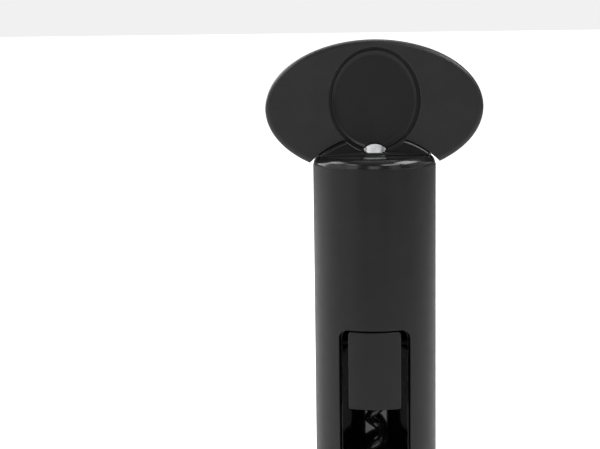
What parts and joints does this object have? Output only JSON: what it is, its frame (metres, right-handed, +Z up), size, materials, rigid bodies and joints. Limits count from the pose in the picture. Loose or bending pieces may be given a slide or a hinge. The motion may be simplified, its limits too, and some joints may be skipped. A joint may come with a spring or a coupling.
{
  "type": "corkscrew",
  "caption": "Self-pulling corkscrew: a tubular body with a window and a press tab, and a butterfly handle that turns and lifts the worm.",
  "frame": {"origin": "centre of the bottom rim, on the surface that the corkscrew stands on", "axes": "+Z up along the spindle, -Y out of the window and the press tab, +X to the right of someone facing the window"},
  "size_m": [0.0778, 0.044, 0.2041],
  "materials": {
    "satin_black": "soft satin, very fine moulded grain",
    "satin_dark": "satin, a shade darker than the plate round it",
    "gloss_black": "polished black plastic",
    "matte_black": "plain matte black plastic",
    "rubber_black": "soft black rubber",
    "coated_wire": "low-friction black coating on hardened steel wire",
    "steel": "turned steel",
    "chrome": "polished chrome",
    "nylon": "black acetal bearing plastic"
  },
  "bodies": {
    "housing": {"body_shell": "satin_black", "inner_liner": "gloss_black", "top_cap": "gloss_black", "guide_bush": "nylon", "cap_screws": "steel", "neck_sleeve": "matte_black", "seat_washer": "rubber_black", "rim_ring": "rubber_black", "tab_pin": "coated_wire", "tab_spring": "steel"},
    "tab": {"release_tab": "satin_black", "grip_pad": "rubber_black", "grip_screws": "steel"},
    "lift_ring": {"lift_washer": "nylon"},
    "handle": {"handle_core": "gloss_black", "handle_front": "satin_black", "handle_rear": "satin_black", "inlay_front": "satin_dark", "inlay_rear": "satin_dark", "handle_screws": "steel", "spindle": "steel", "spindle_collar": "chrome", "tang_pin": "steel", "worm_ferrule": "matte_black", "ferrule_pin": "steel", "stop_bumper": "rubber_black", "worm": "coated_wire"}
  },
  "joints": [
    {"name": "handle_lift", "type": "slide", "parent": "housing", "child": "lift_ring", "axis": [0, 0, 1], "range_m": [0, 0.045]},
    {"name": "handle_turn", "type": "hinge", "parent": "lift_ring", "child": "handle", "pos_m": [0, 0, 0.164], "axis": [0, 0, 1], "continuous": true},
    {"name": "tab_press", "type": "hinge", "parent": "housing", "child": "tab", "pos_m": [0, -0.0136, 0.0975], "axis": [1, 0, 0], "range_deg": [0, 8], "stiffness_Nm_per_rad": 0.3, "springref_deg": -5.73, "deforming": ["tab_spring"]}
  ]
}
